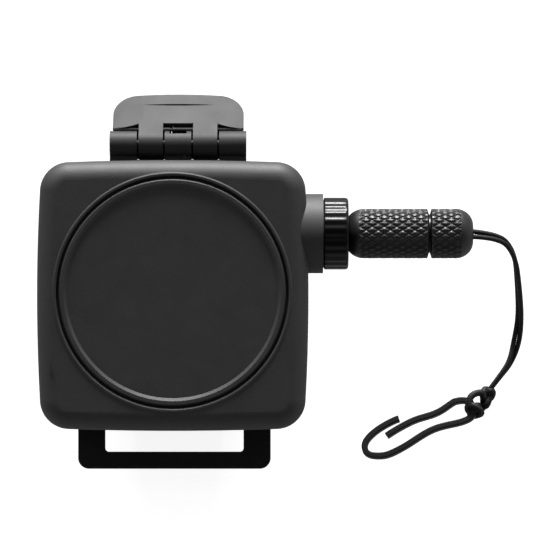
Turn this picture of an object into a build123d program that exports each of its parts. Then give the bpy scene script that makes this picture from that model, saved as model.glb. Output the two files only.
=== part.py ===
"""Retractable gear tether: a spring-wound reel in a square case, with a clamp clip and a webbing loop on its back,
a line that leaves through a nozzle, a two-part knurled end fitting, and a short lanyard with a snap hook.

Millimetres. It lies on its back: Z = 0 is the table, +Z leaves the round cover, +X is the way the line is pulled,
and +Y points to the clip's thumb tab. The reel turns about the Z axis."""

import os
from math import atan2, cos, degrees, pi, radians, sin, sqrt, tan

from build123d import *

# ---------------------------------------------------------------- driving dimensions
# Case
case_width = 64.6
case_height = 64.4
case_depth = 20.8
case_corner = 7.0
side_bulge = 1.1  # how far each side bows out between its corners
end_bulge = 0.7
case_centre_y = -0.8  # the outline's centre, seen from the reel's axis
wall = 1.9
face_round = 4.4
back_round = 3.0
lip_height = 0.8
lip_gap = 0.1

# Stack behind the case
jaw_thickness = 2.4
throat = 5.2  # room for a belt between jaw and clip base
base_thickness = 2.2

# Round cover
cover_radius = 26.9
cover_gap = 0.7
cover_depth = 1.4
cover_rim = 1.8
cover_dish = 0.5
cover_proud = 0.25
bead_width = 0.9  # of the low bead that runs round the cover's recess
bead_height = 0.2

# Line and its drum
line_diameter = 0.9
winding_radius = 14.0  # the line leaves the drum here, straight into the nozzle
drum_radius = 12.4
drum_width = 3.8
flange_radius = 20.0
cup_radius = 26.0
cup_wall = 1.4
spring_width = 4.2
spring_strip = 0.35
arbor_radius = 2.5
bush_wall = 1.2
running_gap = 0.05

# Nozzle
boss_radius = 9.5
boss_reach = 35.8
spigot_radius = 6.8
spigot_length = 4.0
nut_radius = 8.6
nut_length = 5.85
seal_thickness = 0.2
guide_radius = 4.2
guide_bore = 0.9

# End fitting
grip_radius = 5.94
grip_length = 19.9
cap_length = 10.3
grip_gap = 0.3
dome_length = 5.0
cap_dome = 4.3
seat_depth = 0.65
stud_radius = 2.5
stud_length = 11.5
thread_pitch = 0.8
cord_hole = 1.65
grip_edge = 0.45  # along the fitting; the V groove between its halves is washer_radius deep
washer_radius = 4.6
cap_travel = 4.8

# Clip
clip_x = 0.85  # the clip's middle, beside the reel's axis
hinge_y = 35.8
hinge_z = 8.7
knuckle_radius = 3.15
pin_radius = 1.0
tab_width = 31.7
tab_end_y = 48.1
tab_tilt = 42.0
tab_corner = 5.8
arm_width = 5.85
arm_centre = 6.575
centre_lug = 6.4
hinge_width = 33.0
side_gap = 0.45
tab_thickness = 2.0
tab_crown = 120.0
thumb_dish = 0.3
jaw_width = 24.0
jaw_tip_y = -28.5
pad_height = 2.4
tip_gap = 0.3
spring_wire = 0.6
spring_turns = 5

# Webbing loop
loop_width = 46.5
loop_end_y = -42.7
loop_thickness = 1.2
slot_width = 33.4
slot_height = 6.6
loop_top_y = -15.0
loop_bar = 4.1
loop_corner = 2.6

# Fasteners
screw_radius = 1.25
screw_slack = 0.12
screw_head = 2.0
head_height = 1.3
post_radius = 2.7
case_screw_inset = 6.1
base_screw_x = 13.5
base_screw_y = 26.0

# Lanyard and hook
cord_diameter = 1.25
strand_spacing = 1.45
hook_wire = 1.5
hook_depth = 1.7
hook_edge = 0.3
hook_heading = 19.5  # degrees from +X, from the hook's bulb to its eye
hook_tilt = 22.0  # degrees that the gate's side leans down
hook_eye = (71.5, -28.2, 3.0)
split_gap = 0.1
knot_radius = 1.65
knot_length = 5.6

# ---------------------------------------------------------------- places worked out from them
back_z = jaw_thickness + throat + base_thickness
split_z = back_z + case_depth / 2
front_z = back_z + case_depth
half_depth = case_depth / 2
base_z = back_z - base_thickness
nozzle_y = winding_radius
line_radius = line_diameter / 2
floor_z = back_z + wall  # inside of the case's back
shelf_z = front_z - cover_depth - wall + 0.3  # inside of the case's front
boss_root = case_width / 2 - wall - 1.6
nut_x = boss_reach + seal_thickness
nut_end = nut_x + nut_length
grip_x = nut_end - seat_depth
grip_end = grip_x + grip_length
cap_x = grip_end + grip_gap
cap_end = cap_x + cap_length
stud_x = grip_end - 5.0
ferrule_x = stud_x - 6.0
cord_radius = cord_diameter / 2
drum_z = split_z - drum_width / 2
roof = 1.0  # thickness of the spring cup's roof and of the drum's flange
cup_z = floor_z + 1.0
hub_radius = arbor_radius + bush_wall
bearing_z = shelf_z - 1.0
hub_top = bearing_z - 0.5

nozzle_plane = Plane(origin=(0, nozzle_y, split_z), x_dir=(1, 0, 0), z_dir=(0, -1, 0))
nozzle_axis = Axis((0, nozzle_y, split_z), (1, 0, 0))
hinge_plane = Plane(origin=(0, 0, 0), x_dir=(0, 1, 0), z_dir=(1, 0, 0))

os.makedirs("parts", exist_ok=True)


def save(part, label):
    part.label = label
    export_step(part, f"parts/{label}.step")


def case_outline(inset=0.0):
    """The case's rounded square, whose sides bow out a little, drawn in from its edge by inset."""
    corner_x = case_width / 2 - side_bulge
    corner_y = case_height / 2 - end_bulge
    with BuildSketch() as outline:
        with BuildLine():
            ThreePointArc((corner_x, -corner_y), (case_width / 2, 0), (corner_x, corner_y))
            ThreePointArc((corner_x, corner_y), (0, case_height / 2), (-corner_x, corner_y))
            ThreePointArc((-corner_x, corner_y), (-case_width / 2, 0), (-corner_x, -corner_y))
            ThreePointArc((-corner_x, -corner_y), (0, -case_height / 2), (corner_x, -corner_y))
        make_face()
        fillet(outline.vertices(), case_corner)
        if inset:
            offset(amount=-inset, mode=Mode.REPLACE)
    return outline.sketch.moved(Location((0, case_centre_y)))


def across_x(start):
    """A plane that faces +X at X = start, whose own axes are the object's Y and Z."""
    return Plane(origin=(start, 0, 0), x_dir=(0, 1, 0), z_dir=(1, 0, 0))


def half_boss(side):
    """Half of the nozzle's boss and spigot: side is 1 for the front shell and -1 for the rear one."""
    with BuildPart() as boss:
        for start, end, radius in (
            (boss_root, boss_reach, boss_radius),
            (boss_reach, boss_reach + spigot_length, spigot_radius),
        ):
            with BuildSketch(across_x(start)):
                with Locations((nozzle_y, split_z)):
                    Circle(radius)
                with Locations((nozzle_y, split_z - side * radius)):
                    Rectangle(4 * radius, 2 * radius, mode=Mode.SUBTRACT)
            extrude(amount=end - start)
    return boss.part


def turned(points):
    """A solid turned about the nozzle's axis, from (x, radius) points."""
    with BuildPart() as solid:
        with BuildSketch(nozzle_plane):
            with BuildLine():
                Polyline(*points, close=True)
            make_face()
        revolve(axis=nozzle_axis)
    return solid.part


def spun(points):
    """A solid turned about the reel's axis, from (radius, z) points."""
    with BuildPart() as solid:
        with BuildSketch(Plane.XZ):
            with BuildLine():
                Polyline(*points, close=True)
            make_face()
        revolve(axis=Axis.Z)
    return solid.part


def sleeve(inner, outer, bottom, top):
    return spun([(inner, bottom), (outer, bottom), (outer, top), (inner, top)])


def screw(length):
    """A socket-head screw that points up, with the underside of its head at Z = 0."""
    with BuildPart() as body:
        with BuildSketch(Plane.XY.offset(-head_height)):
            Circle(screw_head)
        extrude(amount=head_height)
        chamfer(body.faces().sort_by(Axis.Z)[0].edges(), 0.2)
        with BuildSketch():
            Circle(screw_radius)
        extrude(amount=length)
        chamfer(body.faces().sort_by(Axis.Z)[-1].edges(), 0.3)
        with BuildSketch(Plane.XY.offset(-head_height)):
            RegularPolygon(radius=1.0, side_count=6)
        extrude(amount=0.8, mode=Mode.SUBTRACT)
    return body.part


case_screws_at = [
    (sx * (case_width / 2 - case_screw_inset), case_centre_y + sy * (case_height / 2 - case_screw_inset))
    for sx in (-1, 1)
    for sy in (-1, 1)
]
base_screws_at = [(clip_x + sx * base_screw_x, sy * base_screw_y) for sx in (-1, 1) for sy in (-1, 1)]
pegs_at = [(18 * cos(radians(a)), 18 * sin(radians(a))) for a in (90, 210, 330)]
peg_radius = 1.2

outline_outer = case_outline()
outline_inner = case_outline(wall)
outline_lip = case_outline(wall / 2 + lip_gap)
outline_lip_seat = case_outline(wall / 2)
recess_radius = cover_radius + cover_gap
cover_bead = spun(
    [
        (recess_radius, front_z - 0.5),
        (recess_radius + bead_width, front_z - 0.5),
        (recess_radius + bead_width, front_z),
        (recess_radius + bead_width - 0.3, front_z + bead_height),
        (recess_radius + 0.3, front_z + bead_height),
        (recess_radius, front_z),
    ]
)
front_boss = half_boss(1)
rear_boss = half_boss(-1)

# ---------------------------------------------------------------- case
with BuildPart() as front_case:
    with BuildSketch(Plane.XY.offset(split_z)):
        add(outline_outer)
    extrude(amount=half_depth)
    fillet(front_case.faces().sort_by(Axis.Z)[-1].edges(), face_round)
    with BuildSketch(Plane.XY.offset(split_z)):
        add(outline_inner)
    extrude(amount=shelf_z - split_z, mode=Mode.SUBTRACT)
    # lip that locates the rear shell, cut back where the rear half of the boss crosses it
    with BuildSketch(Plane.XY.offset(split_z - lip_height)):
        add(outline_lip)
        add(outline_inner, mode=Mode.SUBTRACT)
    extrude(amount=lip_height)
    with BuildSketch(across_x(boss_root - 2)):
        with Locations((nozzle_y, split_z)):
            Circle(boss_radius + lip_gap)
        with Locations((nozzle_y, split_z + boss_radius)):
            Rectangle(4 * boss_radius, 2 * boss_radius, mode=Mode.SUBTRACT)
    extrude(amount=10, mode=Mode.SUBTRACT)
    add(front_boss)
    # posts that take the case screws, and the front bearing of the reel's arbor
    with BuildSketch(Plane.XY.offset(split_z)):
        with Locations(*case_screws_at):
            Circle(post_radius)
    extrude(amount=shelf_z - split_z + 0.5)
    with BuildSketch(Plane.XY.offset(bearing_z)):
        Circle(arbor_radius + 1.6)
    extrude(amount=1.5)
    # nozzle bore, screw holes, arbor hole, and the seat of the round cover with its pegs
    with BuildSketch(across_x(boss_root - 1)):
        with Locations((nozzle_y, split_z)):
            Circle(guide_radius)
    extrude(amount=boss_reach, mode=Mode.SUBTRACT)
    with BuildSketch(Plane.XY.offset(split_z)):
        with Locations(*case_screws_at):
            Circle(screw_radius)
    extrude(amount=shelf_z - split_z - 1.0, mode=Mode.SUBTRACT)
    with BuildSketch(Plane.XY.offset(bearing_z)):
        Circle(arbor_radius - 0.5 + running_gap)
    extrude(amount=1.6, mode=Mode.SUBTRACT)
    with BuildSketch(Plane.XY.offset(front_z - cover_depth)):
        Circle(cover_radius + cover_gap)
    extrude(amount=cover_depth + 1, mode=Mode.SUBTRACT)
    with BuildSketch(Plane.XY.offset(shelf_z - 1)):
        with Locations(*pegs_at):
            Circle(peg_radius + running_gap)
    extrude(amount=4, mode=Mode.SUBTRACT)
    add(cover_bead)
save(front_case.part, "front_case")

with BuildPart() as rear_case:
    with BuildSketch(Plane.XY.offset(back_z)):
        add(outline_outer)
    extrude(amount=half_depth)
    fillet(rear_case.faces().sort_by(Axis.Z)[0].edges(), back_round)
    with BuildSketch(Plane.XY.offset(floor_z)):
        add(outline_inner)
    extrude(amount=half_depth, mode=Mode.SUBTRACT)
    with BuildSketch(Plane.XY.offset(split_z - lip_height - lip_gap)):
        add(outline_lip_seat)
    extrude(amount=2, mode=Mode.SUBTRACT)
    with BuildSketch(Plane.XY.offset(back_z + 0.5)):
        with Locations(*case_screws_at):
            Circle(post_radius)
    extrude(amount=half_depth - 0.5)
    with BuildSketch(Plane.XY.offset(back_z + 0.5)):
        with Locations(*base_screws_at):
            Circle(post_radius - 0.4)
    extrude(amount=7.0)
    add(rear_boss)
    with BuildSketch(across_x(boss_root - 1)):
        with Locations((nozzle_y, split_z)):
            Circle(guide_radius)
    extrude(amount=boss_reach, mode=Mode.SUBTRACT)
    # pocket for the steel loop, and the screw holes
    with BuildSketch(Plane.XY.offset(back_z)):
        with Locations((0, loop_top_y + lip_gap)):
            Rectangle(loop_width + 2 * lip_gap, 40, align=(Align.CENTER, Align.MAX))
    extrude(amount=loop_thickness, mode=Mode.SUBTRACT)
    with BuildSketch(Plane.XY.offset(back_z)):
        with Locations(*case_screws_at):
            Circle(screw_head + screw_slack)
    extrude(amount=head_height + 0.5, mode=Mode.SUBTRACT)
    with BuildSketch(Plane.XY.offset(back_z)):
        with Locations(*case_screws_at):
            Circle(screw_radius + screw_slack)
    extrude(amount=half_depth, mode=Mode.SUBTRACT)
    with BuildSketch(Plane.XY.offset(back_z)):
        with Locations(*base_screws_at):
            Circle(screw_radius)
    extrude(amount=6.0, mode=Mode.SUBTRACT)
    with BuildSketch(Plane.XY.offset(back_z)):
        Circle(screw_radius + screw_slack)
    extrude(amount=wall + 1, mode=Mode.SUBTRACT)
save(rear_case.part, "rear_case")

# Round cover: a disc with a raised rim whose inner side slopes down to the dished middle
cover_top = front_z + cover_proud
cover_seat = front_z - cover_depth
with BuildPart() as face_cover:
    with BuildSketch(Plane.XZ):
        with BuildLine():
            Polyline(
                (0, cover_seat),
                (cover_radius, cover_seat),
                (cover_radius, cover_top - 0.35),
                (cover_radius - 0.35, cover_top),
                (cover_radius - cover_rim + 0.7, cover_top),
                (cover_radius - cover_rim, cover_top - cover_dish),
                (0, cover_top - cover_dish),
                close=True,
            )
        make_face()
    revolve(axis=Axis.Z)
    with BuildSketch(Plane.XY.offset(cover_seat)):
        with Locations(*pegs_at):
            Circle(peg_radius)
    extrude(amount=-2.2)
save(face_cover.part, "face_cover")

# ---------------------------------------------------------------- reel
with BuildPart() as arbor:
    add(sleeve(0, arbor_radius, floor_z, bearing_z))
    with BuildSketch(Plane.XY.offset(bearing_z)):
        Circle(arbor_radius - 0.5)
    extrude(amount=1.4)
    with BuildSketch(Plane.XY.offset(floor_z)):
        Circle(screw_radius)
    extrude(amount=8.0, mode=Mode.SUBTRACT)
save(arbor.part, "arbor")

spring_z = cup_z + 0.2
spring_outer = cup_radius - cup_wall - 0.35
spring_inner = arbor_radius + spring_strip + 0.35


def spiral(inner, outer, turns):
    """A flat strip wound in half circles that grow outwards, standing on edge."""
    step = (outer - inner) / turns / 2

    def edge_points(shift):
        x, sign, made = inner + shift, 1, []
        for index in range(2 * turns):
            radius = inner + shift + step * (index + 0.5)
            centre = x - sign * radius
            made.append(((x, 0), (centre, sign * radius), (centre - sign * radius, 0)))
            x, sign = centre - sign * radius, -sign
        return made

    with BuildSketch() as strip:
        with BuildLine():
            outside = edge_points(0)
            inside = edge_points(-spring_strip)
            for start, middle, end in outside + inside:
                ThreePointArc(start, middle, end)
            Line(outside[0][0], inside[0][0])
            Line(outside[-1][2], inside[-1][2])
        make_face()
    return strip.sketch


spring_strip_face = spiral(spring_inner, spring_outer, 12)
with BuildPart() as power_spring:
    with BuildSketch(Plane.XY.offset(spring_z)):
        add(spring_strip_face)
    extrude(amount=spring_width)
save(power_spring.part, "power_spring")

cup_roof = drum_z - roof
with BuildPart() as spool:
    add(
        spun(
            [
                (hub_radius, cup_roof),
                (cup_radius - cup_wall, cup_roof),
                (cup_radius - cup_wall, cup_z),
                (cup_radius, cup_z),
                (cup_radius, drum_z),
                (drum_radius, drum_z),
                (drum_radius, drum_z + drum_width),
                (hub_radius, drum_z + drum_width),
            ]
        )
    )
    with BuildSketch(Plane.XY.offset(drum_z)):
        with PolarLocations(8.0, 6):
            Circle(2.2)
    extrude(amount=drum_width, mode=Mode.SUBTRACT)
save(spool.part, "spool")

drum_top = drum_z + drum_width
flange = spun(
    [
        (hub_radius, drum_top),
        (flange_radius, drum_top),
        (flange_radius, drum_top + roof),
        (hub_radius + 1.5, drum_top + roof),
        (hub_radius + 1.5, hub_top),
        (hub_radius, hub_top),
    ]
)
save(flange, "spool_flange")

bushing = spun(
    [
        (arbor_radius + running_gap, cup_roof),
        (hub_radius - 0.02, cup_roof),
        (hub_radius - 0.02, hub_top),
        (hub_radius + 1.0, hub_top),
        (hub_radius + 1.0, hub_top + 0.4),
        (arbor_radius + running_gap, hub_top + 0.4),
    ]
)
save(bushing, "spool_bushing")

save(sleeve(hub_radius - 0.4, cup_radius, cup_z - 0.55, cup_z), "spring_cover")
save(sleeve(arbor_radius + running_gap, arbor_radius + 2.2, floor_z, cup_z - 0.6), "thrust_washer")
save(sleeve(drum_radius + 0.02, winding_radius, drum_z + 0.02, drum_top - 0.02), "wound_line")

# ---------------------------------------------------------------- nozzle
guide_x = boss_root - 1.2
guide_end = boss_reach + spigot_length
with BuildPart() as line_guide:
    with BuildSketch(nozzle_plane):
        with BuildLine():
            Polyline(
                (guide_x, guide_bore + 1.6),
                (guide_x, guide_radius + 1.2),
                (boss_root, guide_radius + 1.2),
                (boss_root, guide_radius - running_gap),
                (guide_end, guide_radius - running_gap),
                (guide_end, guide_bore + 1.2),
            )
            ThreePointArc(
                (guide_end, guide_bore + 1.2),
                (guide_end - 0.85, guide_bore + 0.35),
                (guide_end - 2.05, guide_bore),
            )
            Line((guide_end - 2.05, guide_bore), (guide_x + 2.7, guide_bore))
            ThreePointArc(
                (guide_x + 2.7, guide_bore),
                (guide_x + 1.13, guide_bore + 0.47),
                (guide_x, guide_bore + 1.6),
            )
        make_face()
    revolve(axis=nozzle_axis)
save(line_guide.part, "line_guide")

seal = turned(
    [
        (boss_reach, spigot_radius + running_gap),
        (boss_reach, nut_radius - 0.45),
        (nut_x, nut_radius - 0.45),
        (nut_x, spigot_radius + running_gap),
    ]
)
save(seal, "nozzle_washer")

nut_floor = guide_end + running_gap
nut = turned(
    [
        (nut_x, spigot_radius + running_gap),
        (nut_x, nut_radius - 0.3),
        (nut_x + 0.3, nut_radius),
        (nut_end - 0.75, nut_radius),
        (nut_end, nut_radius - 0.75),
        (nut_end, 4.6),
        (nut_end - 0.3, 4.3),
        (grip_x, 4.3),
        (grip_x, 1.7),
        (nut_floor, 1.7),
        (nut_floor, spigot_radius + running_gap),
    ]
)
save(nut, "nozzle_ring")

# ---------------------------------------------------------------- end fitting
line_start = 8.0
tether = turned([(line_start, 0), (line_start, line_radius), (ferrule_x + 4, line_radius), (ferrule_x + 4, 0)])
save(tether, "tether_line")

with BuildPart() as barrel_grip:
    with BuildSketch(nozzle_plane):
        with BuildLine():
            Polyline(
                (grip_end, stud_radius),
                (grip_end, washer_radius + 0.15),
                (grip_end - grip_edge, grip_radius),
                (grip_x + dome_length, grip_radius),
            )
            ThreePointArc((grip_x + dome_length, grip_radius), (grip_x + 1.8, 4.83), (grip_x, 2.48))
            Polyline(
                (grip_x, 2.48),
                (grip_x, line_radius + running_gap),
                (ferrule_x, line_radius + running_gap),
                (ferrule_x, 1.6),
                (stud_x, 1.6),
                (stud_x, stud_radius),
                (grip_end, stud_radius),
            )
        make_face()
    revolve(axis=nozzle_axis)
save(barrel_grip.part, "barrel_grip")

ferrule = turned(
    [(ferrule_x, line_radius), (ferrule_x, 1.58), (ferrule_x + 4, 1.58), (ferrule_x + 4, line_radius)]
)
save(ferrule, "line_ferrule")

stud = turned(
    [
        (stud_x, 0),
        (stud_x, stud_radius),
        (stud_x + stud_length - 0.4, stud_radius),
        (stud_x + stud_length, stud_radius - 0.4),
        (stud_x + stud_length, 0),
    ]
)
save(stud, "barrel_stud")

collar = turned(
    [
        (grip_end, stud_radius + running_gap),
        (grip_end, washer_radius),
        (cap_x, washer_radius),
        (cap_x, stud_radius + running_gap),
    ]
)
save(collar, "barrel_washer")

cap_bore = stud_radius + running_gap
cap_wall_x = cap_end - 2.2
with BuildPart() as barrel_cap:
    with BuildSketch(nozzle_plane):
        with BuildLine():
            Polyline(
                (cap_x, cap_bore),
                (cap_x, washer_radius + 0.15),
                (cap_x + grip_edge, grip_radius),
                (cap_end - cap_dome, grip_radius),
            )
            ThreePointArc(
                (cap_end - cap_dome, grip_radius),
                (cap_end - 1.1, 4.2),
                (cap_end, cord_hole + 0.45),
            )
            Polyline(
                (cap_end, cord_hole + 0.45),
                (cap_end, cord_hole + 0.35),
                (cap_end - 0.35, cord_hole),
                (cap_wall_x, cord_hole),
                (cap_wall_x, cap_bore),
                (cap_x, cap_bore),
            )
        make_face()
    revolve(axis=nozzle_axis)
save(barrel_cap.part, "barrel_cap")

anchor_x = cap_wall_x - 1.55
with BuildPart() as cord_anchor:
    with BuildSketch(across_x(anchor_x)):
        with Locations((nozzle_y, split_z)):
            Circle(cap_bore - 0.3)
        with Locations((nozzle_y - strand_spacing / 2, split_z), (nozzle_y + strand_spacing / 2, split_z)):
            Circle(cord_radius, mode=Mode.SUBTRACT)
    extrude(amount=1.5)
save(cord_anchor.part, "cord_anchor")

# ---------------------------------------------------------------- lanyard
knot_way = Vector(-0.2545, -0.967, 0).normalized()
knot_top = Vector(76.6, -23.2, 1.7)
# each stop of the doubled cord: a point on its middle, and how far the pair has twisted there
stops = [
    (Vector(anchor_x, nozzle_y, split_z), 0, Vector(1, 0, 0)),
    (Vector(77.0, nozzle_y, split_z), -50, Vector(1, 0, 0)),
    (Vector(80.4, 8.6, 15.6), -80, None),
    (Vector(82.4, 1.2, 9.6), -105, None),
    (Vector(83.7, -6.2, 3.4), -145, None),
    (Vector(83.2, -12.4, 0.9), -185, None),
    (Vector(80.95, -16.9, 1.4), -228, None),
    (knot_top - knot_way * 3.5, -270, knot_way),
    (knot_top, -270, knot_way),
]


def strand_points(side):
    """The corners of one strand's route: side is 1 or -1."""
    made = []
    for index, (point, twist, way) in enumerate(stops):
        if way is None:
            way = (stops[index + 1][0] - stops[index - 1][0]).normalized()
        across = Vector(0, 0, 1).cross(way).normalized()
        up = way.cross(across)
        reach = side * strand_spacing / 2
        made.append(point + across * reach * cos(radians(twist)) + up * reach * sin(radians(twist)))
    return made


def bend_radii(points):
    """The largest tangent arcs that leave a tenth of every run straight."""
    radii = []
    for before, here, after in zip(points, points[1:], points[2:]):
        turn = radians((here - before).get_angle(after - here))
        run = min((here - before).length, (after - here).length)
        radii.append(0.45 * run / tan(turn / 2))
    return radii


def strand(side):
    points = strand_points(side)
    radii = bend_radii(points)
    print("strand", side, "radii", [round(r, 1) for r in radii])
    with BuildPart() as cord:
        with BuildLine() as route:
            FilletPolyline(*points, radius=radii)
        with BuildSketch(Plane(origin=route.line @ 0, z_dir=route.line % 0)):
            Circle(cord_radius)
        sweep(path=route.line)
    return cord.part


save(strand(1), "lanyard_strand_a")
save(strand(-1), "lanyard_strand_b")

# Hook: flat wire, bent to a long loop that ends in a bulb; one side of it is the sprung gate
heading = radians(hook_heading)
along = Vector(cos(heading), sin(heading), 0)
aside = Vector(-sin(heading), cos(heading), 0)
lean = radians(hook_tilt)
hook_plane = Plane(origin=hook_eye, x_dir=along, z_dir=Vector(0, 0, 1) * cos(lean) + aside * sin(lean))

# along the hook from its eye, and across it towards the gate's side
frame_route = [
    (-16.89, 3.32),
    (-19.34, 3.16),
    (-22.01, 2.64),
    (-24.81, 1.63),
    (-27.00, -0.31),
    (-27.10, -2.15),
    (-25.15, -3.74),
    (-23.00, -4.38),
    (-20.20, -4.29),
    (-16.83, -3.67),
    (-13.16, -2.75),
    (-9.55, -2.22),
    (-5.03, -2.60),
    (-1.94, -2.83),
    (0.20, -2.20),
    (1.05, -0.50),
    (0.55, 1.30),
    (-1.10, 2.40),
    (-2.60, 2.66),
    (-3.67, 2.47),
]
gate_route = [
    (-3.67, 2.47),
    (-6.60, 1.67),
    (-9.54, 1.45),
    (-12.22, 1.60),
    (-14.43, 1.52),
    (-16.66, 1.20),
    (-21.15, 0.20),
]


def flat_wire(route, start_way, end_way):
    """Flat wire swept along a smooth line through the route's points, its ends cut along the given ways."""
    with BuildPart() as wire:
        with BuildLine() as line:
            Spline(
                *[hook_plane.from_local_coords((a, b, 0)) for a, b in route],
                tangents=[hook_plane.from_local_coords(Vector(*way)) - hook_plane.origin for way in (start_way, end_way)],
            )
        with BuildSketch(Plane(origin=line.line @ 0, z_dir=line.line % 0, x_dir=hook_plane.z_dir)):
            RectangleRounded(hook_depth, hook_wire, hook_edge)
        sweep(path=line.line)
    return wire.part


gate_way = (-1.0, -0.26)
hook_frame = flat_wire(frame_route, (-1.0, 0.05), gate_way)
save(hook_frame, "hook_frame")
gate_length = sqrt(gate_way[0] ** 2 + gate_way[1] ** 2)
gate_route[0] = tuple(c + split_gap * w / gate_length for c, w in zip(gate_route[0], gate_way))
hook_gate = flat_wire(gate_route, gate_way, (-1.0, -0.28))
save(hook_gate, "hook_gate")

# Knots: the stopper knot, and the hitch round the end of the hook
with BuildPart() as stopper_knot:
    with BuildSketch(Plane(origin=knot_top, z_dir=knot_way)):
        Circle(knot_radius)
    extrude(amount=knot_length)
    fillet(stopper_knot.edges().filter_by(GeomType.CIRCLE), 0.3)
save(stopper_knot.part, "stopper_knot")

hitch_solid = hook_plane.offset(0).from_local_coords(Location((0.75, 0.1, -0.3)) * Box(2.9, 3.4, 2.9))
with BuildPart() as hitch_knot:
    add(hitch_solid)
    fillet(hitch_knot.edges(), 0.8)
    add(hook_frame, mode=Mode.SUBTRACT)
save(hitch_knot.part, "hitch_knot")

# ---------------------------------------------------------------- webbing loop
with BuildPart() as strap_loop:
    with BuildSketch(Plane.XY.offset(back_z)) as plate:
        with Locations((0, loop_end_y)):
            Rectangle(loop_width, loop_top_y - loop_end_y, align=(Align.CENTER, Align.MIN))
        fillet(plate.vertices(), loop_corner)
        with Locations((0, loop_end_y + loop_bar)):
            RectangleRounded(slot_width, slot_height, 0.9, align=(Align.CENTER, Align.MIN), mode=Mode.SUBTRACT)
        with Locations((clip_x - base_screw_x, -base_screw_y), (clip_x + base_screw_x, -base_screw_y)):
            Circle(screw_radius + screw_slack, mode=Mode.SUBTRACT)
    extrude(amount=loop_thickness)
    chamfer(strap_loop.faces().filter_by(Axis.Z).edges().filter_by(lambda e: e.center().Y < loop_end_y + 12), 0.18)
save(strap_loop.part, "strap_loop")

# ---------------------------------------------------------------- clip
lug_spans = [
    (clip_x - hinge_width / 2, clip_x - arm_centre - arm_width / 2 - side_gap),
    (clip_x - centre_lug / 2, clip_x + centre_lug / 2),
    (clip_x + arm_centre + arm_width / 2 + side_gap, clip_x + hinge_width / 2),
]
coil_radius = pin_radius + 0.1 + spring_wire / 2
coil_pitch = spring_wire + 0.02
coil_turns = spring_turns + tab_tilt / 360
coil_height = coil_turns * coil_pitch
with BuildPart() as clip_base:
    with BuildSketch(Plane.XY.offset(base_z)) as base_plate:
        with Locations((clip_x, 1.5)):
            RectangleRounded(hinge_width, 61.0, 3.0)
    extrude(amount=base_thickness)
    for start, end in lug_spans:
        with BuildSketch(across_x(start)):
            with Locations((hinge_y, hinge_z)):
                Circle(knuckle_radius)
            with Locations((hinge_y, back_z)):
                Rectangle(8.0, base_thickness, align=(Align.MAX, Align.MAX))
        extrude(amount=end - start)
    # rib that meets the jaw's pad
    with BuildSketch(Plane.XY.offset(base_z)):
        with Locations((clip_x, jaw_tip_y + 3.4)):
            RectangleRounded(jaw_width - 2, 5.6, 1.0)
    extrude(amount=-(throat - pad_height - tip_gap))
    # holes: pin, screws, arbor screw's head, and the spring's nest in the middle lug
    with BuildSketch(across_x(-hinge_width)):
        with Locations((hinge_y, hinge_z)):
            Circle(pin_radius)
    extrude(amount=2 * hinge_width, mode=Mode.SUBTRACT)
    with BuildSketch(Plane.XY.offset(base_z)):
        with Locations(*base_screws_at):
            Circle(screw_radius + screw_slack)
    extrude(amount=base_thickness, mode=Mode.SUBTRACT)
    with BuildSketch(Plane.XY.offset(base_z - 4)):
        with Locations(*base_screws_at):
            Circle(screw_head + screw_slack)
    extrude(amount=4 + head_height, mode=Mode.SUBTRACT)
    with BuildSketch(Plane.XY.offset(base_z)):
        Circle(screw_head + 0.4)
    extrude(amount=base_thickness, mode=Mode.SUBTRACT)
    nest = coil_height + spring_wire + 0.4
    with BuildSketch(across_x(clip_x - nest / 2)):
        with Locations((hinge_y, hinge_z)):
            Circle(coil_radius + spring_wire / 2 + 0.25)
        with Locations((hinge_y, hinge_z + 1.9)):
            Rectangle(6, 6, align=(Align.MIN, Align.MAX))
    extrude(amount=nest, mode=Mode.SUBTRACT)
    with BuildSketch(across_x(clip_x)):
        with Locations((hinge_y, back_z)):
            Rectangle(5, 0.8, align=(Align.MAX, Align.MIN))
    extrude(amount=nest / 2, mode=Mode.SUBTRACT)
save(clip_base.part, "clip_base")

tilt = radians(tab_tilt)
tab_plane = Plane(
    origin=(clip_x, hinge_y + knuckle_radius * sin(tilt), hinge_z + knuckle_radius * cos(tilt)),
    x_dir=(1, 0, 0),
    z_dir=(0, sin(tilt), cos(tilt)),
)
tab_length = (tab_end_y - hinge_y - knuckle_radius * sin(tilt)) / cos(tilt)
tab_root = 3.3
gap_root = (41.1 - hinge_y - knuckle_radius * sin(tilt)) / cos(tilt)
with BuildPart() as tab:
    with BuildSketch(tab_plane) as tab_sketch:
        with BuildLine():
            Polyline(
                (-tab_width / 2, tab_root),
                (-tab_width / 2, tab_length),
                (tab_width / 2, tab_length),
                (tab_width / 2, tab_root),
                (13.6, tab_root),
            )
            ThreePointArc((13.6, tab_root), (11.4, tab_root + 0.35), (9.5, gap_root))
            Line((9.5, gap_root), (-9.5, gap_root))
            ThreePointArc((-9.5, gap_root), (-11.4, tab_root + 0.35), (-13.6, tab_root))
            Line((-13.6, tab_root), (-tab_width / 2, tab_root))
        make_face()
        ends = tab_sketch.vertices().group_by(Axis.Y)[-1]
        fillet(ends, tab_corner)
    extrude(amount=-tab_thickness)
    # thumb dish, stopping short of the free end
    with BuildSketch(tab_plane.offset(-thumb_dish)) as dish:
        Rectangle(24.5, tab_length - 3.2, align=(Align.CENTER, Align.MIN))
        fillet(dish.vertices().group_by(Axis.Y)[-1], 3.0)
    extrude(amount=2, mode=Mode.SUBTRACT)
    # crown: the top falls away towards both sides
    with BuildSketch(Plane(origin=tab_plane.origin, x_dir=(1, 0, 0), z_dir=tab_plane.y_dir)) as crown:
        with Locations((0, tab_crown)):
            Circle(tab_crown)
    extrude(amount=tab_length + 2, mode=Mode.INTERSECT)

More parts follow.
